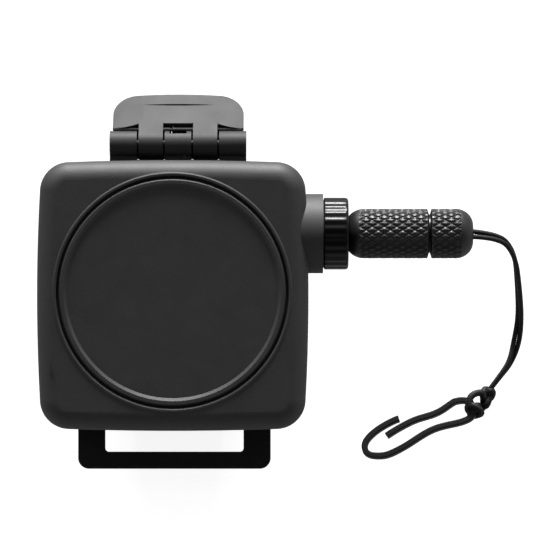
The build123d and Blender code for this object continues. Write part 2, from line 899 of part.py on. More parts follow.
knuckle_hole = pin_radius + running_gap
with BuildPart() as clip_lever:
    with BuildSketch() as jaw:
        with Locations((clip_x, jaw_tip_y)):
            Rectangle(jaw_width, 28.0 - jaw_tip_y, align=(Align.CENTER, Align.MIN))
        fillet(jaw.vertices().group_by(Axis.Y)[0], 5.0)
        fillet(jaw.vertices().group_by(Axis.Y)[-1], 2.0)
    extrude(amount=jaw_thickness)
    chamfer(clip_lever.edges(), 0.4)
    for side in (-1, 1):
        start = clip_x + side * arm_centre - arm_width / 2
        with BuildSketch(across_x(start)) as arm:
            with BuildLine():
                Polyline(
                    (20.0, 0.4),
                    (30.6, 0.4),
                    (hinge_y + 2.3, hinge_z - 2.15),
                    (hinge_y, hinge_z),
                    (hinge_y - 2.6, hinge_z - 1.78),
                    (27.4, jaw_thickness),
                    (20.0, jaw_thickness),
                    close=True,
                )
            make_face()
            with Locations((hinge_y, hinge_z)):
                Circle(knuckle_radius)
        extrude(amount=arm_width)
        with BuildSketch(tab_plane):
            with Locations((side * arm_centre, 0)):
                Rectangle(arm_width, gap_root + 1.0, align=(Align.CENTER, Align.MIN))
        extrude(amount=-tab_thickness)
    add(tab.part)
    with BuildSketch(across_x(-hinge_width)):
        with Locations((hinge_y, hinge_z)):
            Circle(knuckle_hole)
    extrude(amount=2 * hinge_width, mode=Mode.SUBTRACT)
    # hole in the tab's root that holds the spring's moving leg
    leg_plane = Plane(
        origin=(
            clip_x - coil_height / 2,
            hinge_y + coil_radius * sin(tilt) + gap_root * cos(tilt),
            hinge_z + coil_radius * cos(tilt) - gap_root * sin(tilt),
        ),
        z_dir=(0, cos(tilt), -sin(tilt)),
    )
    with BuildSketch(leg_plane):
        Circle(spring_wire / 2 + 0.1)
    extrude(amount=2.6, mode=Mode.SUBTRACT)
save(clip_lever.part, "clip_lever")

pad_y = jaw_tip_y + 1.0
with BuildPart() as jaw_pad:
    with BuildSketch(across_x(clip_x - jaw_width / 2 + 1.5)):
        with BuildLine():
            Polyline(
                (pad_y, jaw_thickness),
                (pad_y, jaw_thickness + pad_height - 0.6),
                (pad_y + 0.8, jaw_thickness + pad_height),
                (pad_y + 1.6, jaw_thickness + pad_height - 0.6),
                (pad_y + 2.4, jaw_thickness + pad_height),
                (pad_y + 3.2, jaw_thickness + pad_height - 0.6),
                (pad_y + 4.0, jaw_thickness + pad_height),
                (pad_y + 4.8, jaw_thickness + pad_height - 0.6),
                (pad_y + 4.8, jaw_thickness),
                close=True,
            )
        make_face()
    extrude(amount=jaw_width - 3)
save(jaw_pad.part, "jaw_pad")

with BuildPart() as clip_pin:
    with BuildSketch(across_x(clip_x - hinge_width / 2 + 0.3)):
        with Locations((hinge_y, hinge_z)):
            Circle(pin_radius)
    extrude(amount=hinge_width - 0.6)
    chamfer(clip_pin.edges().filter_by(GeomType.CIRCLE), 0.2)
save(clip_pin.part, "clip_pin")

coil_plane = Plane(origin=(clip_x + coil_height / 2, hinge_y, hinge_z), x_dir=(0, 0, 1), z_dir=(-1, 0, 0))
with BuildPart() as coil:
    with BuildLine() as turns:
        Helix(pitch=coil_pitch, height=coil_height, radius=coil_radius)
    with BuildSketch(Plane(origin=turns.line @ 0, z_dir=turns.line % 0)):
        Circle(spring_wire / 2)
    sweep(path=turns.line, is_frenet=True)
coil_in_place = coil_plane.from_local_coords(coil.part)
leg_radius = spring_wire / 2 - 0.03
leg_bury = 0.1
with BuildPart() as clip_spring:
    add(coil_in_place)
    with BuildSketch(
        Plane(origin=(clip_x + coil_height / 2, hinge_y + leg_bury, hinge_z + coil_radius), z_dir=(0, -1, 0))
    ):
        Circle(leg_radius)
    extrude(amount=4.6 + leg_bury)
    with BuildSketch(leg_plane.offset(-gap_root - leg_bury)):
        Circle(leg_radius)
    extrude(amount=gap_root + leg_bury + 2.4)
save(clip_spring.part, "clip_spring")

# ---------------------------------------------------------------- fasteners
long_screw = screw(half_depth - head_height - 0.5 + 5.5)
short_screw = screw(base_thickness - head_height + 5.6)
centre_screw = screw(wall + 7.6)
with BuildPart() as case_screws:
    with Locations(*[(x, y, back_z + head_height + 0.5) for x, y in case_screws_at]):
        add(long_screw)
save(case_screws.part, "case_screws")

with BuildPart() as base_screws:
    with Locations(*[(x, y, base_z + head_height) for x, y in base_screws_at]):
        add(short_screw)
save(base_screws.part, "base_screws")

save(centre_screw.moved(Location((0, 0, back_z))), "arbor_screw")
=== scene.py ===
from math import atan2, cos, hypot, pi, radians, sin

import bpy
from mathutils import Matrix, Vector


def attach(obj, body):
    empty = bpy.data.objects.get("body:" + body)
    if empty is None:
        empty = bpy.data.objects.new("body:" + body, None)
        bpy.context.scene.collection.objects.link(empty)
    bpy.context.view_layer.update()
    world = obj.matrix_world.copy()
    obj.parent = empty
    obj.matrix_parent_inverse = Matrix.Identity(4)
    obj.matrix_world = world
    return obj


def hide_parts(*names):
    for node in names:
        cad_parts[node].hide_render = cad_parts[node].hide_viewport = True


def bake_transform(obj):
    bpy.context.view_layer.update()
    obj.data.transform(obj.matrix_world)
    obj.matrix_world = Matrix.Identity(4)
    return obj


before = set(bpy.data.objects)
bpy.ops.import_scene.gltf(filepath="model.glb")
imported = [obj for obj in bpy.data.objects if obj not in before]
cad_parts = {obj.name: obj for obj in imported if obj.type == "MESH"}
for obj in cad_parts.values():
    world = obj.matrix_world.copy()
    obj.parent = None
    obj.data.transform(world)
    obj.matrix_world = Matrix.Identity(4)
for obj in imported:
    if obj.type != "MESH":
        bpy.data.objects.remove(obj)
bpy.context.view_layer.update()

# ---------------------------------------------------------------- camera
# A camera straight above the object, which lies on its back on the table.
# Its long lens shows about 135 mm of the table from one metre up.
bpy.ops.object.select_all(action="DESELECT")
bpy.ops.object.camera_add(location=(0.02551, 0.0029, 1.010), rotation=(0, 0, 0))
camera = bpy.context.object
camera.name = "camera"
camera.data.sensor_width = 36
camera.data.lens = 265.9
camera.data.clip_start = 0.01
bpy.context.scene.camera = camera

# ---------------------------------------------------------------- lanyard
# A thin braided polyester cord, doubled, whose two strands twist once round each other on the way
# to the knots. Both ends are held by the anchor inside the screw-on cap.
lanyard_diameter = 0.00125
lanyard_points = {
    "lanyard_strand_a": [
        (0.06795, 0.01473, 0.02020),
        (0.07760, 0.01437, 0.01964),
        (0.08195, 0.00985, 0.01503),
        (0.08295, 0.00169, 0.00905),
        (0.08355, -0.00601, 0.00305),
        (0.08250, -0.01223, 0.00096),
        (0.08145, -0.01700, 0.00194),
        (0.07890, -0.02070, 0.00242),
        (0.07640, -0.02400, 0.00225),
    ],
    "lanyard_strand_b": [
        (0.06795, 0.01328, 0.02020),
        (0.07760, 0.01343, 0.02076),
        (0.08205, 0.00895, 0.01617),
        (0.08345, 0.00091, 0.01015),
        (0.08431, -0.00639, 0.00375),
        (0.08390, -0.01257, 0.00084),
        (0.08185, -0.01750, 0.00086),
        (0.07905, -0.02085, 0.00097),
        (0.07650, -0.02410, 0.00110),
    ],
}


def smooth_line(points, steps):
    """The points of a NURBS spline that has these control points."""
    curve = bpy.data.curves.new("route", "CURVE")
    curve.dimensions = "3D"
    curve.resolution_u = steps
    spline = curve.splines.new("NURBS")
    spline.points.add(len(points) - 1)
    for point, place in zip(spline.points, points):
        point.co = (*place, 1)
    spline.order_u = 3
    spline.use_endpoint_u = True
    holder = bpy.data.objects.new("route", curve)
    bpy.context.collection.objects.link(holder)
    bpy.context.view_layer.update()
    line = bpy.data.meshes.new_from_object(holder)
    found = [v.co.copy() for v in line.vertices]
    bpy.data.objects.remove(holder)
    bpy.data.curves.remove(curve)
    bpy.data.meshes.remove(line)
    return found


def evenly(points, gap):
    """The same line with its points moved to even gaps."""
    ways = [0.0]
    for a, b in zip(points, points[1:]):
        ways.append(ways[-1] + (b - a).length)
    count = max(2, round(ways[-1] / gap))
    made, k = [], 0
    for i in range(count + 1):
        way = ways[-1] * i / count
        while k < len(points) - 2 and ways[k + 1] < way:
            k += 1
        share = (way - ways[k]) / max(ways[k + 1] - ways[k], 1e-12)
        made.append(points[k].lerp(points[k + 1], min(max(share, 0), 1)))
    return made, ways[-1]


def tube(name, line, radius, sides, relief=None):
    """A closed tube round a line, with the way along it and round it kept as a UV map.
    relief gives how far the surface stands proud at a way along, in metres, and a share of a turn."""
    verts, faces, ways = [], [], [0.0]
    for a, b in zip(line, line[1:]):
        ways.append(ways[-1] + (b - a).length)
    side = None
    for i, here in enumerate(line):
        ahead = (line[min(i + 1, len(line) - 1)] - line[max(i - 1, 0)]).normalized()
        if side is None:
            side = ahead.orthogonal().normalized()
        side = (side - ahead * side.dot(ahead)).normalized()
        up = ahead.cross(side)
        for k in range(sides):
            turn = 2 * pi * k / sides
            reach = radius + (relief(ways[i], k / sides) if relief else 0)
            verts.append(here + side * reach * cos(turn) + up * reach * sin(turn))
    for i in range(len(line) - 1):
        for k in range(sides):
            n = (k + 1) % sides
            faces.append((i * sides + k, i * sides + n, (i + 1) * sides + n, (i + 1) * sides + k))
    first, last = len(verts), len(verts) + 1
    verts += [line[0], line[-1]]
    end = (len(line) - 1) * sides
    for k in range(sides):
        n = (k + 1) % sides
        faces.append((first, n, k))
        faces.append((last, end + k, end + n))
    mesh = bpy.data.meshes.new(name)
    mesh.from_pydata(verts, [], faces)
    along = mesh.uv_layers.new(name="along")
    for face in mesh.polygons:
        spots = [mesh.loops[j].vertex_index for j in face.loop_indices]
        rounds = [(v % sides) / sides if v < first else 0.5 for v in spots]
        wraps = max(rounds) - min(rounds) > 0.5
        for j, v, r in zip(face.loop_indices, spots, rounds):
            row = v // sides if v < first else (0 if v == first else len(line) - 1)
            along.data[j].uv = (ways[row], 1.0 if wraps and r < 0.25 else r)
    mesh.shade_smooth()
    piece = bpy.data.objects.new(name, mesh)
    bpy.context.collection.objects.link(piece)
    return piece


def new_material(name):
    """A new material with its node tree and its shader."""
    material = bpy.data.materials.new(name)
    material.use_nodes = True
    return material, material.node_tree, material.node_tree.nodes["Principled BSDF"]


def node(tree, kind, **values):
    """A node of that kind, with some of its settings or inputs set."""
    made = tree.nodes.new(kind)
    for key, value in values.items():
        if hasattr(made, key):
            setattr(made, key, value)
        else:
            made.inputs[key.replace("_", " ")].default_value = value
    return made


def grey(value, tint=0.0):
    return (value, value, value * (1 + tint), 1)


def braid_group():
    """Braided yarn: two families of yarns that cross over and under each other round a cord."""
    group = bpy.data.node_groups.new("braided yarn", "ShaderNodeTree")
    sockets = group.interface
    sockets.new_socket("Along", in_out="INPUT", socket_type="NodeSocketFloat")
    sockets.new_socket("Round", in_out="INPUT", socket_type="NodeSocketFloat")
    sockets.new_socket("Pitch", in_out="INPUT", socket_type="NodeSocketFloat")
    sockets.new_socket("Yarns", in_out="INPUT", socket_type="NodeSocketFloat")
    sockets.new_socket("Height", in_out="OUTPUT", socket_type="NodeSocketFloat")
    start = node(group, "NodeGroupInput")
    end = node(group, "NodeGroupOutput")
    lengths = node(group, "ShaderNodeMath", operation="DIVIDE")
    group.links.new(start.outputs["Along"], lengths.inputs[0])
    group.links.new(start.outputs["Pitch"], lengths.inputs[1])
    rounds = node(group, "ShaderNodeMath", operation="MULTIPLY")
    group.links.new(start.outputs["Round"], rounds.inputs[0])
    group.links.new(start.outputs["Yarns"], rounds.inputs[1])
    waves = []
    for way in ("ADD", "SUBTRACT"):
        phase = node(group, "ShaderNodeMath", operation=way)
        group.links.new(rounds.outputs[0], phase.inputs[0])
        group.links.new(lengths.outputs[0], phase.inputs[1])
        turn = node(group, "ShaderNodeMath", operation="MULTIPLY")
        group.links.new(phase.outputs[0], turn.inputs[0])
        turn.inputs[1].default_value = 2 * pi
        wave = node(group, "ShaderNodeMath", operation="COSINE")
        group.links.new(turn.outputs[0], wave.inputs[0])
        waves.append(wave)
    crossed = node(group, "ShaderNodeMath", operation="MULTIPLY")
    group.links.new(waves[0].outputs[0], crossed.inputs[0])
    group.links.new(waves[1].outputs[0], crossed.inputs[1])
    half = node(group, "ShaderNodeMath", operation="MULTIPLY_ADD")
    group.links.new(crossed.outputs[0], half.inputs[0])
    half.inputs[1].default_value = 0.5
    half.inputs[2].default_value = 0.5
    group.links.new(half.outputs[0], end.inputs["Height"])
    return group


braided_yarn = braid_group()
braid_pitch = 0.0011
braid_yarns = 4


def cord_material(name, dark, light, roughness, sheen):
    """Black braided cord: the raised yarns are painted paler as a highlight and the gaps between them darker
    as painted shade; fine fibre noise varies the gloss and the bump.
    """
    material, tree, shader = new_material(name)
    uv = node(tree, "ShaderNodeUVMap", uv_map="along")
    parts = node(tree, "ShaderNodeSeparateXYZ")
    tree.links.new(uv.outputs["UV"], parts.inputs[0])
    braid = node(tree, "ShaderNodeGroup", node_tree=braided_yarn)
    tree.links.new(parts.outputs["X"], braid.inputs["Along"])
    tree.links.new(parts.outputs["Y"], braid.inputs["Round"])
    braid.inputs["Pitch"].default_value = braid_pitch
    braid.inputs["Yarns"].default_value = braid_yarns
    fibres = node(tree, "ShaderNodeTexNoise", Scale=9000.0, Detail=2.0)
    place = node(tree, "ShaderNodeTexCoord")
    tree.links.new(place.outputs["Object"], fibres.inputs["Vector"])
    # Painted highlight and shade: the braid's height mixes a paler colour on the raised yarns and a darker
    # one in the gaps.
    colour = node(tree, "ShaderNodeMix", data_type="RGBA")
    tree.links.new(braid.outputs["Height"], colour.inputs["Factor"])
    colour.inputs["A"].default_value = grey(dark, 0.03)
    colour.inputs["B"].default_value = grey(light, 0.05)
    tree.links.new(colour.outputs["Result"], shader.inputs["Base Color"])
    rough = node(tree, "ShaderNodeMapRange")
    tree.links.new(fibres.outputs["Fac"], rough.inputs["Value"])
    rough.inputs["To Min"].default_value = roughness - 0.1
    rough.inputs["To Max"].default_value = roughness + 0.1
    tree.links.new(rough.outputs["Result"], shader.inputs["Roughness"])
    bump = node(tree, "ShaderNodeBump", Strength=0.35, Distance=0.00006)
    tree.links.new(fibres.outputs["Fac"], bump.inputs["Height"])
    tree.links.new(bump.outputs["Normal"], shader.inputs["Normal"])
    shader.inputs["Specular IOR Level"].default_value = 0.25
    shader.inputs["Sheen Weight"].default_value = sheen
    shader.inputs["Sheen Roughness"].default_value = 0.4
    return material


lanyard_braid = cord_material("lanyard braid", 0.003, 0.011, 0.6, 0.03)


def braid_relief(way, turn):
    """How far the braid's yarns stand proud of the cord's mean radius."""
    a = cos(2 * pi * (braid_yarns * turn + way / braid_pitch))
    b = cos(2 * pi * (braid_yarns * turn - way / braid_pitch))
    return 0.00005 * a * b


strands = {}
for name, route in lanyard_points.items():
    line, length = evenly(smooth_line(route, 40), 0.00011)
    strand = tube(name.replace("lanyard", "braided"), line, lanyard_diameter / 2 - 0.00004, 20, braid_relief)
    strand.data.materials.append(lanyard_braid)
    strands[name] = (strand, line, length)

# ---------------------------------------------------------------- hook
# A small snap hook of flat, black-coated spring wire in two solids: the frame with its bulb and eye,
# and the sprung gate. Both keep their shape from the solids, edges rounded where the wire was rolled.


def coated_material(name, base, roughness, spread, specular):
    """Black coated metal: a thin even coat with faint orange peel and rubbed spots."""
    material, tree, shader = new_material(name)
    place = node(tree, "ShaderNodeTexCoord")
    peel = node(tree, "ShaderNodeTexNoise", Scale=3500.0, Detail=3.0)
    rubbed = node(tree, "ShaderNodeTexNoise", Scale=240.0, Detail=5.0, Roughness=0.65)
    for noise in (peel, rubbed):
        tree.links.new(place.outputs["Object"], noise.inputs["Vector"])
    colour = node(tree, "ShaderNodeMix", data_type="RGBA")
    spots = node(tree, "ShaderNodeMapRange")
    tree.links.new(rubbed.outputs["Fac"], spots.inputs["Value"])
    spots.inputs["From Min"].default_value = 0.5
    spots.inputs["From Max"].default_value = 0.75
    tree.links.new(spots.outputs["Result"], colour.inputs["Factor"])
    colour.inputs["A"].default_value = grey(base, 0.04)
    colour.inputs["B"].default_value = grey(base * 1.9, 0.04)
    tree.links.new(colour.outputs["Result"], shader.inputs["Base Color"])
    rough = node(tree, "ShaderNodeMapRange")
    tree.links.new(rubbed.outputs["Fac"], rough.inputs["Value"])
    rough.inputs["To Min"].default_value = roughness + spread
    rough.inputs["To Max"].default_value = roughness - spread
    tree.links.new(rough.outputs["Result"], shader.inputs["Roughness"])
    bump = node(tree, "ShaderNodeBump", Strength=0.15, Distance=0.00004)
    tree.links.new(peel.outputs["Fac"], bump.inputs["Height"])
    tree.links.new(bump.outputs["Normal"], shader.inputs["Normal"])
    shader.inputs["Specular IOR Level"].default_value = specular
    return material


def finish_node(name, material):
    """Gives a solid its own finish."""
    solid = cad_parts[name]
    if not solid.material_slots:
        solid.data.materials.append(material)
    for place in solid.material_slots:
        place.material = material


hook_coat = coated_material("hook coat", 0.003, 0.36, 0.08, 0.3)
finish_node("hook_frame", hook_coat)
finish_node("hook_gate", hook_coat)

# ---------------------------------------------------------------- knots
# The doubled cord ends in a tight stopper knot, a small loop runs from it round the eye of the hook,
# and the hitch is wound three turns round the eye's flat wire. All of it is the same braid, pulled so
# tight that its turns press into each other.
stopper_cord_radius = 0.00082
hitch_cord_radius = 0.00074
knot_gap = 0.00012
knot_sides = 18
up = Vector((0, 0, 1))
stopper_top = Vector((0.0766, -0.0232, 0.0017))
stopper_way = Vector((-0.2545, -0.967, 0)).normalized()
stopper_side = up.cross(stopper_way).normalized()
stopper_middle = stopper_top + stopper_way * 0.0024


def overhand(centre, way, side, other, reach, start, end, count):
    """Control points of an overhand knot pulled tight: one strand that passes through its own loop."""
    made = []
    for i in range(count + 1):
        t = start + (end - start) * i / count
        made.append(
            centre
            + side * reach[0] * (sin(t) + 2 * sin(2 * t))
            + way * reach[1] * (cos(t) - 2 * cos(2 * t))
            - other * reach[2] * sin(3 * t)
        )
    return made


def wound(centre, way, side, other, turns, advance, radii, start=0.0, per_turn=10):
    """Control points that wind round a line through centre; radii holds the first and last radius."""
    count = round(turns * per_turn)
    made = []
    for i in range(count + 1):
        share = i / count
        turn = start + 2 * pi * turns * share
        reach = radii[0] + (radii[1] - radii[0]) * share
        made.append(
            centre + way * advance * share + side * reach * cos(turn) + other * reach * sin(turn)
        )
    return made


stopper_reach = (0.00042, 0.00080, 0.00070)
stopper_route = overhand(
    stopper_middle, -stopper_way, stopper_side, up, stopper_reach, pi * 1.02, pi * 2.92, 36
)
eye_loop = [
    (0.0750, -0.0247, 0.0024),
    (0.0737, -0.0245, 0.0030),
    (0.0722, -0.0251, 0.0037),
    (0.0714, -0.0264, 0.0042),
    (0.0717, -0.0280, 0.0044),
]
stopper_route += [Vector(p) for p in eye_loop]
stopper_line, _ = evenly(smooth_line(stopper_route, 16), knot_gap)
stopper = tube("stopper_knot_cord", stopper_line, stopper_cord_radius, knot_sides, braid_relief)

hook_turn = radians(19.5)
hook_lean = radians(22)
hook_aside = Vector((-sin(hook_turn), cos(hook_turn), 0))
eye_along = Vector((cos(hook_turn), sin(hook_turn), 0))
eye_way = hook_aside * cos(hook_lean) - up * sin(hook_lean)
eye_up = up * cos(hook_lean) + hook_aside * sin(hook_lean)
eye_middle = Vector((0.07282, -0.02880, 0.0029))
hitch_turns = 3.0
hitch_advance = 0.0031
hitch_radii = (0.00135, 0.00145)
hitch_start = eye_middle + eye_way * 0.0016
hitch_route = wound(
    hitch_start, -eye_way, eye_along, eye_up, hitch_turns, hitch_advance, hitch_radii, 1.2
)
crossing = [
    (0.0016, -0.0014, 0.0002),
    (0.0011, -0.0007, 0.0017),
    (0.0001, 0.0006, 0.0021),
    (-0.0008, 0.0013, 0.0014),
]
hitch_route += [eye_middle + eye_along * a + eye_way * b + eye_up * c for a, b, c in crossing]
hitch_route += [
    eye_middle - eye_along * 0.0017 + eye_way * 0.0009 - eye_up * 0.0003,
    eye_middle - eye_along * 0.0008 - eye_way * 0.0002 - eye_up * 0.0019,
    Vector((0.0742, -0.0290, 0.0012)),
    Vector((0.0752, -0.0282, 0.0014)),
    Vector((0.0758, -0.0268, 0.0017)),
]
hitch_line, _ = evenly(smooth_line(hitch_route, 16), knot_gap)
hitch = tube("hitch_knot_cord", hitch_line, hitch_cord_radius, knot_sides, braid_relief)

for knot, solid in ((stopper, "stopper_knot"), (hitch, "hitch_knot")):
    knot.data.materials.append(lanyard_braid)
    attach(knot, "swivel")
    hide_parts(solid)

for name, (strand, line, length) in strands.items():
    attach(strand, "swivel")
    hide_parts(name)

# ---------------------------------------------------------------- knurled grip and cap
# The end fitting is turned from aluminium bar, diamond knurled and black anodised. The tether is crimped
# inside the grip, and the cap screws on to the stud between them.
fitting_y = 0.014
fitting_z = 0.0202
fitting_radius = 0.00594
knurl_round = 22
knurl_pitch = 0.00291
knurl_depth = 0.00036
knurl_steps = 12
knurl_origin = 0.046
knurl_least_radius = 0.0050
groove_half_share = 0.24
knurl_run_out = 0.0002


def lathe(name, profile, steps):
    """A closed shell on the nozzle's axis, drawn out ring by ring through its (x, radius) points."""
    bpy.ops.object.select_all(action="DESELECT")
    x, radius = profile[0]
    bpy.ops.mesh.primitive_circle_add(
        vertices=steps, radius=radius, location=(x, fitting_y, fitting_z), rotation=(0, pi / 2, 0)
    )
    piece = bpy.context.object
    piece.name = piece.data.name = name
    bpy.ops.object.transform_apply(location=True, rotation=True, scale=True)
    bpy.ops.object.mode_set(mode="EDIT")
    bpy.ops.mesh.select_all(action="SELECT")
    for next_x, next_radius in profile[1:] + profile[:1]:
        bpy.ops.mesh.extrude_region_move(TRANSFORM_OT_translate={"value": (next_x - x, 0, 0)})
        grow = next_radius / radius
        if abs(grow - 1) > 1e-9:
            bpy.ops.transform.resize(value=(1, grow, grow), center_override=(next_x, fitting_y, fitting_z))
        x, radius = next_x, next_radius
    bpy.ops.mesh.select_all(action="SELECT")
    bpy.ops.mesh.remove_doubles(threshold=1e-7)
    bpy.ops.mesh.normals_make_consistent(inside=False)
    bpy.ops.object.mode_set(mode="OBJECT")
    return piece


def rounded(x0, r0, x1, r1, bulge, count):
    """Points of an elliptic corner from (x0, r0) to (x1, r1), the first left out.
    bulge is x when the corner leaves along the axis, and r when it leaves across it."""
    made = []
    for i in range(1, count + 1):
        t = pi / 2 * i / count
        if bulge == "x":
            made.append((x0 + (x1 - x0) * sin(t), r1 + (r0 - r1) * cos(t)))
        else:
            made.append((x1 + (x0 - x1) * cos(t), r0 + (r1 - r0) * sin(t)))
    return made


def knurl(piece, start, end):
    """Presses two families of V grooves into the rings between start and end, so that diamonds are left."""
    for v in piece.data.vertices:
        y, z = v.co.y - fitting_y, v.co.z - fitting_z
        radius = hypot(y, z)
        if radius < knurl_least_radius or not start < v.co.x < end:
            continue
        turn = atan2(z, y) / (2 * pi) * knurl_round
        way = (v.co.x - knurl_origin) / knurl_pitch
        cut = 0.0
        for phase in (turn + way, turn - way):
            off = abs(phase - round(phase))
            cut = max(cut, 1 - min(off / groove_half_share, 1))
        fade = min((v.co.x - start) / knurl_run_out, (end - v.co.x) / knurl_run_out, 1)
        less = 1 - knurl_depth * cut**0.8 * fade / radius
        v.co.y = fitting_y + y * less
        v.co.z = fitting_z + z * less


def rows(start, end, radius):
    """Rings for the knurl, a twelfth of a diamond apart."""
    count = round((end - start) / knurl_pitch * knurl_steps)
    return [(start + (end - start) * i / count, radius) for i in range(count + 1)]


grip_front, grip_full, grip_end = 0.0412, 0.0457, 0.0611
grip_profile = [(grip_front, 0.0005), (grip_front, 0.00215)]
grip_profile += rounded(grip_front, 0.00215, grip_full, fitting_radius, "r", 20)
grip_profile += rows(0.04585, grip_end - 0.00045, fitting_radius)
grip_profile += [
    (grip_end - 0.00032, fitting_radius - 0.00012),
    (grip_end, 0.00475),
    (grip_end, 0.0025),
    (0.0561, 0.0025),
    (0.0561, 0.0016),
    (0.0501, 0.0016),
    (0.0501, 0.0005),
]
grip = lathe("knurled_grip", grip_profile, knurl_round * knurl_steps)
knurl(grip, 0.0445, grip_end - 0.0004)

cap_start, cap_end = 0.0614, 0.0717
cap_profile = [(cap_start, 0.00255), (cap_start, 0.00475), (cap_start + 0.00032, fitting_radius - 0.00012)]
cap_profile += rows(cap_start + 0.00045, 0.0675, fitting_radius)
cap_profile += rounded(0.0675, fitting_radius, cap_end, 0.0021, "x", 22)
cap_profile += [
    (cap_end, 0.0020),
    (cap_end - 0.00035, 0.00165),
    (0.0695, 0.00165),
    (0.0695, 0.00255),
]
cap = lathe("knurled_cap", cap_profile, knurl_round * knurl_steps)
knurl(cap, cap_start + 0.0004, 0.06862)


def anodised_material(name, base, light, roughness):
    """Black anodised aluminium: a dark, slightly grained skin whose high spots are rubbed paler."""
    material, tree, shader = new_material(name)
    place = node(tree, "ShaderNodeTexCoord")
    grain = node(tree, "ShaderNodeTexNoise", Scale=5200.0, Detail=3.0)
    blotch = node(tree, "ShaderNodeTexNoise", Scale=420.0, Detail=4.0)
    for noise in (grain, blotch):
        tree.links.new(place.outputs["Object"], noise.inputs["Vector"])
    colour = node(tree, "ShaderNodeMix", data_type="RGBA")
    tree.links.new(blotch.outputs["Fac"], colour.inputs["Factor"])
    colour.inputs["A"].default_value = grey(base)
    colour.inputs["B"].default_value = grey(light)
    tree.links.new(colour.outputs["Result"], shader.inputs["Base Color"])
    rough = node(tree, "ShaderNodeMapRange")
    tree.links.new(grain.outputs["Fac"], rough.inputs["Value"])
    rough.inputs["To Min"].default_value = roughness - 0.07
    rough.inputs["To Max"].default_value = roughness + 0.07
    tree.links.new(rough.outputs["Result"], shader.inputs["Roughness"])
    bump = node(tree, "ShaderNodeBump", Strength=0.2, Distance=0.00003)
    tree.links.new(grain.outputs["Fac"], bump.inputs["Height"])
    tree.links.new(bump.outputs["Normal"], shader.inputs["Normal"])
    shader.inputs["Metallic"].default_value = 0.0
    shader.inputs["Specular IOR Level"].default_value = 0.5
    return material


anodised = anodised_material("black anodised", 0.005, 0.010, 0.42)
for piece, solid, body in ((grip, "barrel_grip", "tether"), (cap, "barrel_cap", "cap")):
    bpy.ops.object.select_all(action="DESELECT")
    piece.select_set(True)
    bpy.context.view_layer.objects.active = piece
    bpy.ops.object.shade_smooth_by_angle(angle=radians(25))
    piece.data.materials.append(anodised)
    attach(piece, body)
    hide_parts(solid)

# ---------------------------------------------------------------- nozzle ring
# A glossy black ring, moulded in acetal, that screws on to the case's spigot and holds the line guide.
# Twenty-six shallow flutes give the fingers a hold.
ring_radius = 0.0086
ring_flutes = 26
flute_depth = 0.00018
flute_end = 0.0416
flute_run_out = 0.0006
ring_profile = [(0.0360, 0.00685), (0.0360, 0.0083)]
ring_profile += rounded(0.0360, 0.0083, 0.0363, ring_radius, "r", 4)
ring_profile += [(0.0363 + 0.0048 * i / 8, ring_radius) for i in range(1, 8)]
ring_profile += [(0.0411, ring_radius)]
ring_profile += rounded(0.0411, ring_radius, 0.04185, 0.00785, "x", 6)
ring_profile += [
    (0.04185, 0.0046),
    (0.04155, 0.0043),
    (0.0412, 0.0043),
    (0.0412, 0.0017),
    (0.03985, 0.0017),
    (0.03985, 0.00685),
]
ring = lathe("fluted_ring", ring_profile, ring_flutes * 12)
for v in ring.data.vertices:
    y, z = v.co.y - fitting_y, v.co.z - fitting_z
    radius = hypot(y, z)
    if radius > ring_radius - 0.0006:
        turn = atan2(z, y) / (2 * pi) * ring_flutes
        wave = 0.5 - 0.5 * cos(2 * pi * turn)
        less = 1 - flute_depth * wave * min(max((flute_end - v.co.x) / flute_run_out, 0), 1) / radius
        v.co.y = fitting_y + y * less
        v.co.z = fitting_z + z * less
bpy.ops.object.select_all(action="DESELECT")
ring.select_set(True)
bpy.context.view_layer.objects.active = ring
bpy.ops.object.shade_smooth_by_angle(angle=radians(30))


